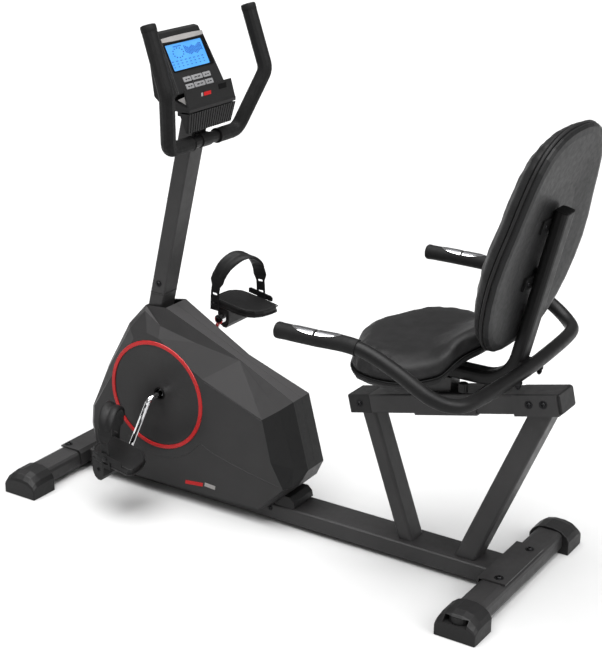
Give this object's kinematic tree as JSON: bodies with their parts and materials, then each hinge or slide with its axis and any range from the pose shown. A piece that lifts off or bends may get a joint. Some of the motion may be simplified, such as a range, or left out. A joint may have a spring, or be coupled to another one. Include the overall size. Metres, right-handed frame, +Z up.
{
  "type": "recumbent exercise bike",
  "caption": "Recumbent exercise bike with a sliding bucket seat and backrest, side pulse grips, an upright handlebar with console, belt-driven flywheel in a faceted shroud.",
  "frame": {"origin": "middle of the bounding box at floor level", "axes": "+X to the rear of the bike (seat), -X to the front (console and pedals), +Y to the rider's right, +Z up"},
  "size_m": [1.3984, 0.6822, 1.212],
  "materials": {
    "front_stabilizer": "semi-matt black powder coat",
    "rear_stabilizer": "semi-matt black powder coat",
    "main_beam": "semi-matt black powder coat",
    "front_seat_post": "semi-matt black powder coat",
    "rear_seat_post": "semi-matt black powder coat",
    "seat_rail": "semi-matt black powder coat",
    "seat_carriage": "semi-matt black powder coat",
    "seat_frame": "semi-matt black powder coat",
    "rear_handlebar": "semi-matt black powder coat",
    "mast_foot": "semi-matt black powder coat",
    "mast": "semi-matt black powder coat",
    "front_handlebar": "semi-matt black powder coat",
    "crank_housing": "semi-matt black powder coat",
    "flywheel_bracket": "semi-matt black powder coat",
    "front_foot_cap_left": "finely textured",
    "front_foot_cap_right": "finely textured",
    "rear_foot_cap_left": "finely textured",
    "rear_foot_cap_right": "finely textured",
    "levelling_wheel_left": "finely textured",
    "levelling_wheel_right": "finely textured",
    "rail_front_cap": "finely textured",
    "rail_rear_cap": "finely textured",
    "seat_lock_knob": "finely textured",
    "seat_shell": "finely textured",
    "back_shell": "finely textured",
    "handlebar_clamp": "finely textured",
    "console_housing": "finely textured",
    "console_tray": "finely textured",
    "ribbed_panel": "finely textured",
    "shroud_left": "finely textured",
    "shroud_right": "finely textured",
    "pedal_left": "finely textured",
    "pedal_right": "finely textured",
    "drive_pulley": "finely textured",
    "console_face": "satin",
    "display_lens": "lit blue display",
    "button_upper_left": "silver paint",
    "button_upper_middle": "silver paint",
    "button_upper_right": "silver paint",
    "button_lower_left": "silver paint",
    "button_lower_middle": "silver paint",
    "button_lower_right": "silver paint",
    "shroud_ring_left": "glossy red",
    "shroud_ring_right": "glossy red",
    "front_grip_left": "closed-cell foam",
    "front_grip_right": "closed-cell foam",
    "rear_grip_left": "closed-cell foam",
    "rear_grip_right": "closed-cell foam",
    "pedal_strap_left": "flexible moulded strap",
    "pedal_strap_right": "flexible moulded strap",
    "drive_belt": "ribbed belt",
    "seat_cushion": "black vinyl over foam",
    "back_cushion": "black vinyl over foam",
    "crank_arm_left": "polished",
    "crank_arm_right": "polished",
    "pulse_plate_left": "polished",
    "pulse_plate_right": "polished",
    "crank_axle": "turned",
    "flywheel_axle": "turned",
    "flywheel": "painted casting"
  },
  "bodies": {
    "base": {"front_stabilizer": "front_stabilizer", "rear_stabilizer": "rear_stabilizer", "main_beam": "main_beam", "front_seat_post": "front_seat_post", "rear_seat_post": "rear_seat_post", "seat_rail": "seat_rail", "mast_foot": "mast_foot", "mast": "mast", "front_handlebar": "front_handlebar", "crank_housing": "crank_housing", "flywheel_bracket": "flywheel_bracket", "front_foot_cap_left": "front_foot_cap_left", "front_foot_cap_right": "front_foot_cap_right", "rear_foot_cap_left": "rear_foot_cap_left", "rear_foot_cap_right": "rear_foot_cap_right", "rail_front_cap": "rail_front_cap", "rail_rear_cap": "rail_rear_cap", "handlebar_clamp": "handlebar_clamp", "console_housing": "console_housing", "console_tray": "console_tray", "ribbed_panel": "ribbed_panel", "shroud_left": "shroud_left", "shroud_right": "shroud_right", "console_face": "console_face", "display_lens": "display_lens", "shroud_ring_left": "shroud_ring_left", "shroud_ring_right": "shroud_ring_right", "front_grip_left": "front_grip_left", "front_grip_right": "front_grip_right", "drive_belt": "drive_belt"},
    "crank": {"crank_axle": "crank_axle", "crank_arm_left": "crank_arm_left", "crank_arm_right": "crank_arm_right", "drive_pulley": "drive_pulley"},
    "flywheel_unit": {"flywheel": "flywheel", "flywheel_axle": "flywheel_axle"},
    "pedal_unit_left": {"pedal_left": "pedal_left", "pedal_strap_left": "pedal_strap_left"},
    "pedal_unit_right": {"pedal_right": "pedal_right", "pedal_strap_right": "pedal_strap_right"},
    "seat": {"seat_carriage": "seat_carriage", "seat_frame": "seat_frame", "seat_cushion": "seat_cushion", "seat_shell": "seat_shell", "back_cushion": "back_cushion", "back_shell": "back_shell", "rear_handlebar": "rear_handlebar", "rear_grip_left": "rear_grip_left", "rear_grip_right": "rear_grip_right", "pulse_plate_left": "pulse_plate_left", "pulse_plate_right": "pulse_plate_right"},
    "lock_knob": {"seat_lock_knob": "seat_lock_knob"},
    "leveller_left": {"levelling_wheel_left": "levelling_wheel_left"},
    "leveller_right": {"levelling_wheel_right": "levelling_wheel_right"},
    "key_upper_left": {"button_upper_left": "button_upper_left"},
    "key_upper_middle": {"button_upper_middle": "button_upper_middle"},
    "key_upper_right": {"button_upper_right": "button_upper_right"},
    "key_lower_left": {"button_lower_left": "button_lower_left"},
    "key_lower_middle": {"button_lower_middle": "button_lower_middle"},
    "key_lower_right": {"button_lower_right": "button_lower_right"}
  },
  "joints": [
    {"name": "crank_spin", "type": "hinge", "parent": "base", "child": "crank", "pos_m": [-0.35874, 0, 0.273], "axis": [0, 1, 0], "continuous": true},
    {"name": "flywheel_spin", "type": "hinge", "parent": "base", "child": "flywheel_unit", "pos_m": [-0.13674, 0, 0.2], "axis": [0, 1, 0], "continuous": true},
    {"name": "pedal_left_spin", "type": "hinge", "parent": "crank", "child": "pedal_unit_left", "pos_m": [-0.41874, -0.186, 0.118], "axis": [0, 1, 0], "continuous": true},
    {"name": "pedal_right_spin", "type": "hinge", "parent": "crank", "child": "pedal_unit_right", "pos_m": [-0.29874, 0.186, 0.428], "axis": [0, 1, 0], "continuous": true},
    {"name": "seat_slide", "type": "slide", "parent": "base", "child": "seat", "axis": [0.975, 0, 0.2223], "range_m": [-0.095, 0.085]},
    {"name": "lock_knob_turn", "type": "hinge", "parent": "seat", "child": "lock_knob", "pos_m": [0.46326, -0.03, 0.456], "axis": [0, 0, 1], "range_deg": [0, 360]},
    {"name": "leveller_left_turn", "type": "hinge", "parent": "base", "child": "leveller_left", "pos_m": [0.58726, -0.245, 0.044], "axis": [0, 0, 1], "continuous": true},
    {"name": "leveller_right_turn", "type": "hinge", "parent": "base", "child": "leveller_right", "pos_m": [0.58726, 0.245, 0.044], "axis": [0, 0, 1], "continuous": true},
    {"name": "press_upper_left", "type": "slide", "parent": "base", "child": "key_upper_left", "axis": [-0.8987, 0, -0.4386], "range_m": [0, 0.0012], "stiffness_N_per_m": 300},
    {"name": "press_upper_middle", "type": "slide", "parent": "base", "child": "key_upper_middle", "axis": [-0.8987, 0, -0.4386], "range_m": [0, 0.0012], "stiffness_N_per_m": 300},
    {"name": "press_upper_right", "type": "slide", "parent": "base", "child": "key_upper_right", "axis": [-0.8987, 0, -0.4386], "range_m": [0, 0.0012], "stiffness_N_per_m": 300},
    {"name": "press_lower_left", "type": "slide", "parent": "base", "child": "key_lower_left", "axis": [-0.8987, 0, -0.4386], "range_m": [0, 0.0012], "stiffness_N_per_m": 300},
    {"name": "press_lower_middle", "type": "slide", "parent": "base", "child": "key_lower_middle", "axis": [-0.8987, 0, -0.4386], "range_m": [0, 0.0012], "stiffness_N_per_m": 300},
    {"name": "press_lower_right", "type": "slide", "parent": "base", "child": "key_lower_right", "axis": [-0.8987, 0, -0.4386], "range_m": [0, 0.0012], "stiffness_N_per_m": 300}
  ],
  "couplings": [
    {"joint": "flywheel_spin", "follows": "crank_spin", "ratio": 5}
  ]
}
